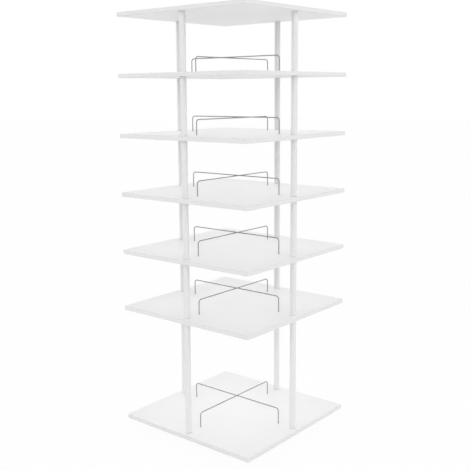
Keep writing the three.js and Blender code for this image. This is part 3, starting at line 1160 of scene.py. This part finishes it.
def plate_mesh(node, settings, has_lip, turned_over, title):
    """A pressed swivel plate: a square rim with screw holes and the raceway in its middle."""
    half_width = size_of(node).x / 2
    sheet = settings.sheet
    base = bottom_of("swivel_lower_plate")
    radius = settings.corner_radius
    ease_share = 0.2
    ease = sheet * ease_share

    def outline(inset):
        return rounded_square(half_width - inset, radius - inset, PLATE_CORNER_STEPS)

    section = fillet((0.0, sheet), (ease, sheet), (0.0, sheet - ease), SHEET_EDGE_STEPS)
    section += fillet((0.0, 0.0), (0.0, ease), (ease, 0.0), SHEET_EDGE_STEPS)
    hole = settings.screw_hole / 2
    screw_section = [(hole, sheet), (hole, 0.0)]
    place = half_width - settings.screw_inset
    openings = [((place * x, place * y), screw_section, True, True) for x, y in CORNERS]
    openings.append(((0.0, 0.0), pressed_plate_section(settings, has_lip), True, True))
    made = bmesh.new()
    add_plate(made, outline, section, openings, ONE_MATERIAL, SWIVEL_SIDES)
    if turned_over:
        height = raceway(settings).height
        made.transform(Matrix.Translation((0.0, 0.0, height)) @ UPSIDE_DOWN)
    made.transform(Matrix.Translation((0.0, 0.0, base)))
    return finished_mesh(made, title, (zinc_finish(settings),), GROOVE_SHARP_ANGLE)


def bolt_mesh(settings, shank_length, material):
    """A flat-headed bolt with a hexagon socket, its head's underside at the origin."""
    head = settings.head_diameter / 2
    height = settings.head_height
    ease = settings.edge_radius
    shank = settings.shank_diameter / 2
    bevel = 0.0002
    tip_bevel = 0.001
    cone = 0.0003
    made = bmesh.new()
    section = fillet((head, height), (head - ease, height), (head, height - ease), BOLT_EDGE_STEPS)
    section += [(head, bevel), (head - bevel, 0.0), (shank, 0.0), (shank, -shank_length + tip_bevel)]
    section += [(shank - tip_bevel, -shank_length), (0.0, -shank_length)]
    rim, _ = add_turned(made, section, BOLT_SIDES)
    flats = 6
    across = settings.socket_width / 2 / math.cos(math.pi / flats)
    floor = height - settings.socket_depth
    mouth = add_recess(made, (
        (circle(across + bevel, flats), height),
        (circle(across, flats), height - bevel),
        (circle(across, flats), floor),
        ([(0.0, 0.0)], floor - cone),
    ))
    fill_flat(made, [rim, mouth], True, 0)
    return finished_mesh(made, "Bolt", (material,))


def cross_outline(reach, half_width):
    """Points of a cross, anticlockwise from above."""
    points = []
    for turn in range(4):
        angle = QUARTER_TURN * turn
        for x, y in ((reach, -half_width), (reach, half_width), (half_width, half_width)):
            points.append((
                x * math.cos(angle) - y * math.sin(angle),
                x * math.sin(angle) + y * math.cos(angle),
            ))
    return points


def screw_mesh(settings, material):
    """A round-headed screw with a cross recess, its head's underside at the origin."""
    height_share, flat_share, rim_share = 0.45, 0.62, 0.25
    arm_share, slot_share, floor_arm_share, floor_slot_share = 0.5, 0.11, 0.55, 0.7
    shank = 0.0017
    shank_length = 0.009
    tip_length = 0.0115
    recess_depth = 0.0011
    recess_tip = 0.0016
    head = settings.screw_head / 2
    height = head * height_share
    flat = head * flat_share
    made = bmesh.new()
    section = []
    for step in range(SCREW_HEAD_STEPS + 1):
        angle = QUARTER_TURN * step / SCREW_HEAD_STEPS
        radius = flat + (head - flat) * math.sin(angle)
        section.append((radius, height * (rim_share + (1 - rim_share) * math.cos(angle))))
    section += [(head, 0.0), (shank, 0.0), (shank, -shank_length), (0.0, -tip_length)]
    rim, _ = add_turned(made, section, SCREW_SIDES)
    arm = head * arm_share
    slot = head * slot_share
    mouth = add_recess(made, (
        (cross_outline(arm, slot), height),
        (cross_outline(arm * floor_arm_share, slot * floor_slot_share), height - recess_depth),
        ([(0.0, 0.0)], height - recess_tip),
    ))
    fill_flat(made, [rim, mouth], True, 0)
    return finished_mesh(made, "Screw", (material,))


def rubber_foot_mesh(settings, node, material):
    """A rubber foot with its peg and the hollow under it, standing on the origin."""
    rim_width = 0.003
    hollow_run = 0.0038
    hollow_depth = 0.0006
    toe_share = 0.18
    wide = size_of(node).x / 2
    narrow = wide - settings.flare
    pad = settings.pad_height
    whole = size_of(node).z
    ease = settings.edge_radius
    peg = settings.peg_diameter / 2
    toe = narrow + settings.flare * toe_share
    section = [(0.0, whole), (peg - ease, whole), (peg, whole - ease), (peg, pad)]
    section += fillet((wide, pad), (wide - ease, pad), (wide, pad - ease), RUBBER_EDGE_STEPS)
    section += fillet((narrow, 0.0), (toe, ease), (narrow - ease, 0.0), RUBBER_EDGE_STEPS)
    section += [(narrow - rim_width, 0.0), (narrow - hollow_run, hollow_depth), (0.0, hollow_depth)]
    made = bmesh.new()
    add_turned(made, section, RUBBER_SIDES)
    return finished_mesh(made, "Rubber foot", (material,))


# Operators

class BuildOperator:
    """Shared part of the operators: each one builds in the current scene."""

    bl_options = {"REGISTER", "UNDO"}


class SHOETOWER_OT_boards(BuildOperator, bpy.types.Operator):
    """Build the seven laminated boards."""

    bl_idname = "shoe_tower.boards"
    bl_label = "Boards"

    def execute(self, context):
        make_board("base_board", "board_base", recess="below")
        for level, node in enumerate(SHELF_BOARDS, 1):
            make_board(node, f"board_shelf_{level}")
        make_board("top_board", "board_top", has_wires=False, recess="above")
        return {"FINISHED"}


class SHOETOWER_OT_posts(BuildOperator, bpy.types.Operator):
    """Build the 24 round posts."""

    bl_idname = "shoe_tower.posts"
    bl_label = "Posts"

    def execute(self, context):
        settings = context.scene.shoe_tower_posts
        finish = powder_coat_finish(settings)
        tree = post_tree()
        boot = [f"boot_post_{side}" for side in SIDES]
        shoe = [f"shoe_post_{level}_{side}" for level in range(1, 5) for side in SIDES]
        top = [f"shoe_post_5_{side}" for side in SIDES]
        for title, nodes, has_stud in (
            ("posts_boot", boot, True),
            ("posts_shoe", shoe, True),
            ("posts_top", top, False),
        ):
            whole = size_of(nodes[0]).z
            values = {
                **inputs_of(settings),
                "Length": whole - settings.stud_length if has_stud else whole,
                "Has Stud": has_stud,
                "Material": finish,
            }
            posts = grown(title, [foot_of(node) for node in nodes], tree, values)
            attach(posts, "tower")
            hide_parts(*nodes)
        return {"FINISHED"}


class SHOETOWER_OT_dividers(BuildOperator, bpy.types.Operator):
    """Build the crossed divider wires of the six lower boards."""

    bl_idname = "shoe_tower.dividers"
    bl_label = "Divider wires"

    def execute(self, context):
        settings = context.scene.shoe_tower_wires
        values = {**inputs_of(settings), "Material": plated_wire_finish(settings)}
        places = [(0.0, 0.0, top_of(node)) for node in LEVEL_BOARDS]
        wires = grown("wires_crossed", places, wire_tree(), values)
        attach(wires, "tower")
        nodes = []
        for level in range(len(LEVEL_BOARDS)):
            nodes += [f"divider_{level}_left_right", f"divider_{level}_front_back"]
        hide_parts(*nodes)
        return {"FINISHED"}


class SHOETOWER_OT_bolts(BuildOperator, bpy.types.Operator):
    """Build the flat-headed bolts in the top board and under the base board."""

    bl_idname = "shoe_tower.bolts"
    bl_label = "Bolts"

    def execute(self, context):
        settings = context.scene.shoe_tower_bolts
        finish = zinc_finish(context.scene.shoe_tower_swivel)
        shank = size_of("top_bolt_front").z - settings.head_height
        for group, title, seed in (("top", "bolts_top", 3), ("base", "bolts_base", 8)):
            nodes = [f"{group}_bolt_{side}" for side in SIDES]
            mesh = bolt_mesh(settings, shank, finish)
            if group == "base":
                mesh.transform(UPSIDE_DOWN)
            places = []
            for node in nodes:
                middle = middle_of(node)
                head = top_of(node) - settings.head_height
                if group == "base":
                    head = bottom_of(node) + settings.head_height
                places.append((middle.x, middle.y, head))
            bolts = fastened(title, mesh, places, finish, seed, FULL_TURN)
            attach(bolts, "tower")
            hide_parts(*nodes)
        return {"FINISHED"}


class SHOETOWER_OT_swivel_plates(BuildOperator, bpy.types.Operator):
    """Build the swivel's two pressed plates."""

    bl_idname = "shoe_tower.swivel_plates"
    bl_label = "Swivel plates"

    def execute(self, context):
        settings = context.scene.shoe_tower_swivel
        for node, title, body, has_lip, turned_over in (
            ("swivel_lower_plate", "swivel_plate_lower", "base", True, False),
            ("swivel_upper_plate", "swivel_plate_upper", "tower", False, True),
        ):
            plate = scene_piece(title, plate_mesh(node, settings, has_lip, turned_over, title))
            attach(plate, body)
            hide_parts(node)
        return {"FINISHED"}


class SHOETOWER_OT_ball_cage(BuildOperator, bpy.types.Operator):
    """Build the ball cage and its balls."""

    bl_idname = "shoe_tower.ball_cage"
    bl_label = "Ball cage"

    def execute(self, context):
        settings = context.scene.shoe_tower_swivel
        pocket_play = 0.0001
        ease = 0.0002
        run = settings.ball_circle / 2
        half_width = settings.cage_width / 2
        middle = middle_of("swivel_ball_cage").z
        top = middle + settings.cage_thickness / 2
        bottom = middle - settings.cage_thickness / 2
        pocket = settings.ball_diameter / 2 + pocket_play
        pocket_section = [(pocket, top), (pocket, bottom)]
        openings = []
        for centre in circle(run, settings.ball_count):
            openings.append((centre, pocket_section, True, True))
        inner = run - half_width
        openings.append(((0.0, 0.0), [(inner, top), (inner, bottom)], True, True))
        edge = [(ease, top), (0.0, top - ease), (0.0, bottom + ease), (ease, bottom)]

        def outline(inset):
            return circle(run + half_width - inset, SWIVEL_SIDES)

        made = bmesh.new()
        add_plate(made, outline, edge, openings, ONE_MATERIAL)
        cage = scene_piece("cage_ring", finished_mesh(made, "cage_ring", (zinc_finish(settings),)))
        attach(cage, "ball_cage")
        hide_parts("swivel_ball_cage")
        values = {**inputs_of(settings), "Material": ball_finish(settings)}
        balls = grown("cage_balls", [(0.0, 0.0, middle)], ball_tree(), values)
        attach(balls, "ball_cage")
        return {"FINISHED"}


class SHOETOWER_OT_swivel_screws(BuildOperator, bpy.types.Operator):
    """Build the screws that hold the swivel's plates to the foot board and the base board."""

    bl_idname = "shoe_tower.swivel_screws"
    bl_label = "Swivel screws"

    def execute(self, context):
        settings = context.scene.shoe_tower_swivel
        finish = zinc_finish(settings)
        place = size_of("swivel_lower_plate").x / 2 - settings.screw_inset
        lower = bottom_of("swivel_lower_plate") + settings.sheet
        upper = top_of("swivel_upper_plate") - settings.sheet
        for title, body, height, turned_over, seed in (
            ("swivel_screws_lower", "base", lower, False, 5),
            ("swivel_screws_upper", "tower", upper, True, 11),
        ):
            mesh = screw_mesh(settings, finish)
            if turned_over:
                mesh.transform(UPSIDE_DOWN)
            places = [(place * x, place * y, height) for x, y in CORNERS]
            screws = fastened(title, mesh, places, finish, seed, QUARTER_TURN)
            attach(screws, body)
        return {"FINISHED"}


class SHOETOWER_OT_foot_board(BuildOperator, bpy.types.Operator):
    """Build the round foot board."""

    bl_idname = "shoe_tower.foot_board"
    bl_label = "Foot board"

    def execute(self, context):
        boards = context.scene.shoe_tower_boards
        feet = context.scene.shoe_tower_feet
        radius = size_of("foot_board").x / 2
        bottom = bottom_of("foot_board")
        hole = feet.peg_hole / 2
        ease = boards.hole_ease
        floor = bottom + size_of("rubber_foot_1").z - feet.pad_height
        blind = [(0.0, floor), (hole, floor), (hole, bottom + ease), (hole + ease, bottom)]
        openings = []
        for node in RUBBER_FEET:
            middle = middle_of(node)
            openings.append(((middle.x, middle.y), blind, False, True))

        def outline(inset):
            return circle(radius - inset, FOOT_BOARD_SIDES)

        board = banded_board("board_foot", "foot_board", outline, openings)
        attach(board, "base")
        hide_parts("foot_board")
        return {"FINISHED"}


class SHOETOWER_OT_rubber_feet(BuildOperator, bpy.types.Operator):
    """Build the four rubber feet."""

    bl_idname = "shoe_tower.rubber_feet"
    bl_label = "Rubber feet"

    def execute(self, context):
        settings = context.scene.shoe_tower_feet
        finish = rubber_finish(settings)
        mesh = rubber_foot_mesh(settings, RUBBER_FEET[0], finish)
        places = [foot_of(node) for node in RUBBER_FEET]
        feet = fastened("feet_rubber", mesh, places, finish, seed=1, greatest_turn=0.0)
        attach(feet, "base")
        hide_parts(*RUBBER_FEET)
        return {"FINISHED"}


# Floor, light and camera

def grey(value):
    return (value, value, value, 1.0)


def make_floor(settings):
    """A wide pale floor that looks white where it is open and keeps the object's shadow."""
    shadowed_white = 0.97
    made = bmesh.new()
    ring = add_ring(made, circle(settings.floor_radius, FLOOR_SIDES), 0.0)
    made.faces.new(ring).normal_update()
    material = bpy.data.materials.new("Floor")
    tree = Tree(emptied_tree(material))
    colour = (*settings.floor_colour, 1.0)
    pale = tree.add("ShaderNodeBsdfDiffuse", "Pale floor", Color=colour)
    colour = grey(shadowed_white)
    shadowed = tree.add("ShaderNodeBsdfDiffuse", "White floor with its shadow", Color=colour)
    white = tree.add("ShaderNodeEmission", "Plain white")
    faint = tree.mixed(settings.floor_white, shadowed, white, "Fainter shadow")
    surface = tree.mixed(tree.seen(), pale, faint, "Floor as it is seen")
    tree.node("ShaderNodeOutputMaterial", "Result", Surface=surface)
    floor = scene_piece("floor", finished_mesh(made, "floor", (material,)))


def make_sky(settings):
    """Pale light from all round; seen or reflected, it is plain white.

    It is strongest low down, fainter right at the horizon and overhead, and a little stronger on one
    side. A height is that of a direction one metre long: 0 is level and 1 straight up.
    """
    full_from, fades_from, faintest_from = 0.25, 0.4, 0.8
    side = settings.sky_side
    heading = (math.cos(settings.side_heading), math.sin(settings.side_heading), 0.0)
    world = bpy.data.worlds.new("Studio")
    bpy.context.scene.world = world
    tree = Tree(emptied_tree(world))
    direction = tree.add("ShaderNodeTexCoord", "Direction")
    split = tree.node("ShaderNodeSeparateXYZ", "Height of the direction", Vector=direction)
    height = split.outputs["Z"]
    falling = tree.spread(
        height, settings.sky_low, settings.sky_high, "Brighter low down", fades_from, faintest_from,
    )
    rising = tree.spread(
        height, settings.horizon_share, 1.0, "Fainter at the horizon", 0.0, full_from,
    )
    strength = tree.calculate("MULTIPLY", falling, rising, "Light by height")
    facing = tree.node(
        "ShaderNodeVectorMath",
        "Towards the bright side",
        {0: direction, 1: heading},
        operation="DOT_PRODUCT",
    )
    share = tree.spread(
        facing.outputs["Value"], 1.0 - side, 1.0 + side, "Brighter on one side", -1.0, 1.0,
    )
    sided = tree.calculate("MULTIPLY", strength, share, "Light of the sky")
    white = grey(1.0)
    light = tree.add("ShaderNodeBackground", "Light", Color=white, Strength=sided)
    plain = tree.add("ShaderNodeBackground", "White background", Color=white, Strength=1.0)
    surface = tree.mixed(tree.seen(), light, plain, "Sky")
    tree.node("ShaderNodeOutputWorld", "Result", Surface=surface)


def make_key_light(settings):
    """A wide soft light, in front and to the right."""
    data = bpy.data.lights.new("key_light", "SUN")
    data.angle = settings.key_width
    data.energy = settings.key_strength
    key = scene_piece("key_light", data)
    key.location = settings.key_place
    key.rotation_euler = (-key.location).to_track_quat("-Z", "Y").to_euler()


def make_camera(settings):
    """The camera, at the photograph's point of view."""
    turn = settings.heading
    tilt = settings.tilt
    roll = settings.roll
    ahead = Vector((-math.sin(turn), math.cos(turn), 0.0))
    right = Vector((math.cos(turn), math.sin(turn), 0.0))
    up = Vector((0.0, 0.0, 1.0))
    forward = ahead * math.cos(tilt) - up * math.sin(tilt)
    upright = ahead * math.sin(tilt) + up * math.cos(tilt)
    across = right * math.cos(roll) + upright * math.sin(roll)
    over = upright * math.cos(roll) - right * math.sin(roll)
    data = bpy.data.cameras.new("camera")
    data.sensor_width = 36.0
    data.lens = settings.lens
    data.shift_x = settings.shift_across
    data.shift_y = settings.shift_up
    camera = scene_piece("camera", data)
    turned = Matrix((across, over, -forward)).transposed().to_4x4()
    camera.matrix_world = Matrix.Translation(settings.camera_place) @ turned
    bpy.context.scene.camera = camera


class SHOETOWER_OT_stage(BuildOperator, bpy.types.Operator):
    """Build the floor, the light and the camera."""

    bl_idname = "shoe_tower.stage"
    bl_label = "Floor, light and camera"

    def execute(self, context):
        settings = context.scene.shoe_tower_stage
        make_floor(settings)
        make_sky(settings)
        make_key_light(settings)
        make_camera(settings)
        context.scene.view_settings.view_transform = "Standard"
        return {"FINISHED"}


SETTINGS = (
    ("shoe_tower_boards", BoardSettings, "Boards"),
    ("shoe_tower_posts", PostSettings, "Posts"),
    ("shoe_tower_wires", WireSettings, "Divider wires"),
    ("shoe_tower_bolts", BoltSettings, "Bolts"),
    ("shoe_tower_swivel", SwivelSettings, "Swivel"),
    ("shoe_tower_feet", FootSettings, "Rubber feet"),
    ("shoe_tower_stage", StageSettings, "Stage"),
)
OPERATORS = (
    SHOETOWER_OT_stage,
    SHOETOWER_OT_boards,
    SHOETOWER_OT_posts,
    SHOETOWER_OT_dividers,
    SHOETOWER_OT_bolts,
    SHOETOWER_OT_swivel_plates,
    SHOETOWER_OT_ball_cage,
    SHOETOWER_OT_swivel_screws,
    SHOETOWER_OT_foot_board,
    SHOETOWER_OT_rubber_feet,
)


class SHOETOWER_PT_sidebar(bpy.types.Panel):
    """Sizes, colours and the pieces to build."""

    bl_label = "Rotating shoe tower"
    bl_space_type = "VIEW_3D"
    bl_region_type = "UI"
    bl_category = "Shoe Tower"

    def draw(self, context):
        for attribute, group, title in SETTINGS:
            box = self.layout.box()
            box.label(text=title)
            settings = getattr(context.scene, attribute)
            for name in group.__annotations__:
                box.prop(settings, name)
        for operator in OPERATORS:
            self.layout.operator(operator.bl_idname)


def register():
    for attribute, group, _ in SETTINGS:
        bpy.utils.register_class(group)
        setattr(bpy.types.Scene, attribute, PointerProperty(type=group))
    for operator in OPERATORS:
        bpy.utils.register_class(operator)
    bpy.utils.register_class(SHOETOWER_PT_sidebar)


def unregister():
    bpy.utils.unregister_class(SHOETOWER_PT_sidebar)
    for operator in reversed(OPERATORS):
        bpy.utils.unregister_class(operator)
    for attribute, group, _ in reversed(SETTINGS):
        delattr(bpy.types.Scene, attribute)
        bpy.utils.unregister_class(group)


def main():
    """Build the whole tower and its stage."""
    register()
    bpy.ops.shoe_tower.stage()
    bpy.ops.shoe_tower.boards()
    bpy.ops.shoe_tower.posts()
    bpy.ops.shoe_tower.dividers()
    bpy.ops.shoe_tower.bolts()
    bpy.ops.shoe_tower.swivel_plates()
    bpy.ops.shoe_tower.ball_cage()
    bpy.ops.shoe_tower.swivel_screws()
    bpy.ops.shoe_tower.foot_board()
    bpy.ops.shoe_tower.rubber_feet()


if __name__ == "__main__":
    main()
